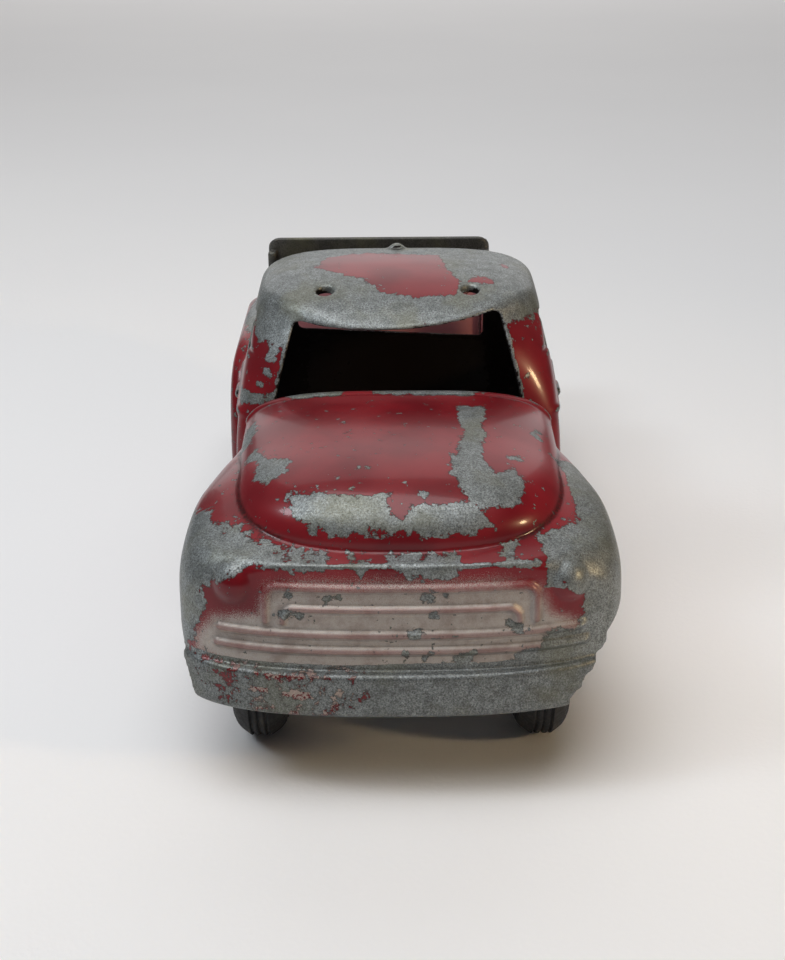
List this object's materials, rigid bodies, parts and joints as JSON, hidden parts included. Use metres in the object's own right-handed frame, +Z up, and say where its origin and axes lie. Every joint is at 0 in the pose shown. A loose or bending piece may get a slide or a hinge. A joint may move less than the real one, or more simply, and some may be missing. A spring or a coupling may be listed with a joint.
{
  "type": "toy tipper truck",
  "caption": "Push-along die-cast toy tipper truck with rolling wheels, an open cab, and a tipping bed with a swinging tailgate.",
  "frame": {"origin": "on the ground, under the middle of the truck's overall box", "axes": "+Z up, the truck faces -Y, +X is the truck's left side"},
  "size_m": [0.0802, 0.1918, 0.0761],
  "materials": {
    "red_enamel": "glossy red enamel worn through to grey zinc",
    "bed_enamel": "red enamel on pressed steel, worn to dark steel along the edges",
    "hub_enamel": "red enamel, scuffed",
    "bare_steel": "dull oxidised steel",
    "rivet_metal": "dull plated steel",
    "black_rubber": "aged matt rubber"
  },
  "bodies": {
    "chassis": {"front_casting": "red_enamel", "cab_casting": "red_enamel", "rear_casting": "red_enamel", "base_plate": "bare_steel", "base_rivets": "rivet_metal", "cab_rivets": "rivet_metal", "front_axle": "bare_steel", "front_axle_caps": "rivet_metal", "rear_axle": "bare_steel", "rear_axle_caps": "rivet_metal", "left_hinge_bracket": "bare_steel", "right_hinge_bracket": "bare_steel", "bracket_rivets": "rivet_metal", "bed_pivot_pin": "bare_steel"},
    "bed": {"dump_bed": "bed_enamel", "tailgate_pin": "bare_steel"},
    "gate": {"tailgate": "bed_enamel"},
    "front_left_wheel": {"front_left_hub": "hub_enamel", "front_left_tyre": "black_rubber"},
    "front_right_wheel": {"front_right_hub": "hub_enamel", "front_right_tyre": "black_rubber"},
    "rear_left_wheel": {"rear_left_hub": "hub_enamel", "rear_left_tyre": "black_rubber"},
    "rear_right_wheel": {"rear_right_hub": "hub_enamel", "rear_right_tyre": "black_rubber"}
  },
  "joints": [
    {"name": "front_left_wheel_spin", "type": "hinge", "parent": "chassis", "child": "front_left_wheel", "pos_m": [0.0265, -0.07, 0.0145], "axis": [1, 0, 0], "continuous": true},
    {"name": "front_right_wheel_spin", "type": "hinge", "parent": "chassis", "child": "front_right_wheel", "pos_m": [-0.0265, -0.07, 0.0145], "axis": [1, 0, 0], "continuous": true},
    {"name": "rear_left_wheel_spin", "type": "hinge", "parent": "chassis", "child": "rear_left_wheel", "pos_m": [0.0265, 0.046, 0.0145], "axis": [1, 0, 0], "continuous": true},
    {"name": "rear_right_wheel_spin", "type": "hinge", "parent": "chassis", "child": "rear_right_wheel", "pos_m": [-0.0265, 0.046, 0.0145], "axis": [1, 0, 0], "continuous": true},
    {"name": "bed_tip", "type": "hinge", "parent": "chassis", "child": "bed", "pos_m": [0, 0.0845, 0.0306], "axis": [-1, 0, 0], "range_deg": [0, 50]},
    {"name": "tailgate_swing", "type": "hinge", "parent": "bed", "child": "gate", "pos_m": [-0.004, 0.0938, 0.0478], "axis": [1, 0, 0], "range_deg": [0, 80]}
  ]
}
